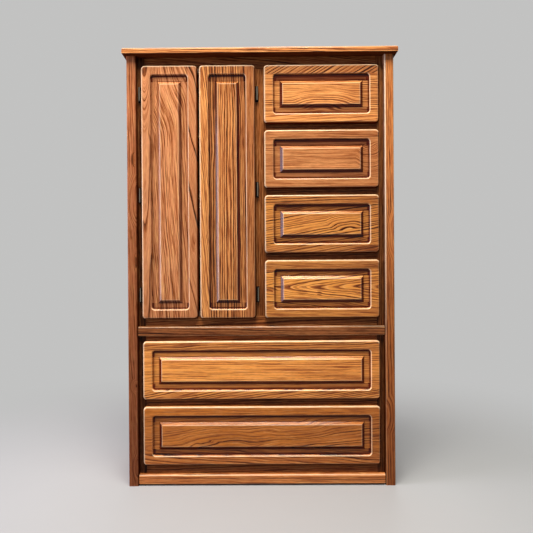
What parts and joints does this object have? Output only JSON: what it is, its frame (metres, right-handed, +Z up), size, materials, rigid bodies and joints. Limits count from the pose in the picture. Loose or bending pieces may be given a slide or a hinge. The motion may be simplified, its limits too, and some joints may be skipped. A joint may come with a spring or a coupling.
{
  "type": "wardrobe dresser",
  "caption": "Tall oak wardrobe dresser with paired hinged doors over shelves, a column of small drawers and wide drawers below",
  "frame": {"origin": "on the floor under the centre of the overall width and depth", "axes": "+Z up, the doors and drawers face -Y, +X is to the right seen from the front"},
  "size_m": [1.143, 0.483, 1.829],
  "materials": {
    "oak_case": "satin stained oak",
    "oak_door": "satin stained oak",
    "oak_drawer_front": "satin stained oak",
    "oak_moulding": "satin stained oak",
    "inner_wood": "unstained wood, thin clear coat",
    "plywood": "unstained plywood",
    "hinge_metal": "dark antique, satin",
    "catch_plastic": "matte brown",
    "strike_steel": "plain"
  },
  "bodies": {
    "case": {"case_top": "oak_case", "left_post": "oak_case", "right_post": "oak_case", "left_side_panel": "oak_case", "right_side_panel": "oak_case", "back_panel": "plywood", "bottom_deck": "inner_wood", "middle_deck": "inner_wood", "partition": "inner_wood", "top_rail": "oak_case", "middle_rail": "oak_case", "bottom_rail": "oak_case", "left_stile": "oak_case", "centre_stile": "oak_case", "right_stile": "oak_case", "upper_drawer_rails": "oak_case", "lower_drawer_rail": "oak_case", "middle_moulding": "oak_moulding", "base_moulding": "oak_moulding", "wardrobe_shelves": "inner_wood", "shelf_cleats": "inner_wood", "upper_web_runners": "inner_wood", "lower_web_runners": "inner_wood", "upper_web_backs": "inner_wood", "lower_web_back": "inner_wood", "drawer_guides": "inner_wood", "top_cleats": "inner_wood", "hinge_frame_leaves": "hinge_metal", "door_catches": "catch_plastic"},
    "left_door": {"left_door_panel": "oak_door", "left_door_hinge_leaves": "hinge_metal", "left_door_strikes": "strike_steel"},
    "right_door": {"right_door_panel": "oak_door", "right_door_hinge_leaves": "hinge_metal", "right_door_strikes": "strike_steel"},
    "drawer_1": {"drawer_1_front": "oak_drawer_front", "drawer_1_box": "inner_wood", "drawer_1_bottom": "plywood", "drawer_1_batten": "inner_wood"},
    "drawer_2": {"drawer_2_front": "oak_drawer_front", "drawer_2_box": "inner_wood", "drawer_2_bottom": "plywood", "drawer_2_batten": "inner_wood"},
    "drawer_3": {"drawer_3_front": "oak_drawer_front", "drawer_3_box": "inner_wood", "drawer_3_bottom": "plywood", "drawer_3_batten": "inner_wood"},
    "drawer_4": {"drawer_4_front": "oak_drawer_front", "drawer_4_box": "inner_wood", "drawer_4_bottom": "plywood", "drawer_4_batten": "inner_wood"},
    "drawer_5": {"drawer_5_front": "oak_drawer_front", "drawer_5_box": "inner_wood", "drawer_5_bottom": "plywood", "drawer_5_batten": "inner_wood"},
    "drawer_6": {"drawer_6_front": "oak_drawer_front", "drawer_6_box": "inner_wood", "drawer_6_bottom": "plywood", "drawer_6_batten": "inner_wood"}
  },
  "joints": [
    {"name": "left_door_hinge", "type": "hinge", "parent": "case", "child": "left_door", "pos_m": [-0.5065, -0.204, 1.233], "axis": [0, 0, -1], "range_deg": [0, 105]},
    {"name": "right_door_hinge", "type": "hinge", "parent": "case", "child": "right_door", "pos_m": [-0.0115, -0.204, 1.233], "axis": [0, 0, 1], "range_deg": [0, 92]},
    {"name": "drawer_1_slide", "type": "slide", "parent": "case", "child": "drawer_1", "axis": [0, -1, 0], "range_m": [0, 0.3]},
    {"name": "drawer_2_slide", "type": "slide", "parent": "case", "child": "drawer_2", "axis": [0, -1, 0], "range_m": [0, 0.3]},
    {"name": "drawer_3_slide", "type": "slide", "parent": "case", "child": "drawer_3", "axis": [0, -1, 0], "range_m": [0, 0.3]},
    {"name": "drawer_4_slide", "type": "slide", "parent": "case", "child": "drawer_4", "axis": [0, -1, 0], "range_m": [0, 0.3]},
    {"name": "drawer_5_slide", "type": "slide", "parent": "case", "child": "drawer_5", "axis": [0, -1, 0], "range_m": [0, 0.3]},
    {"name": "drawer_6_slide", "type": "slide", "parent": "case", "child": "drawer_6", "axis": [0, -1, 0], "range_m": [0, 0.3]}
  ]
}
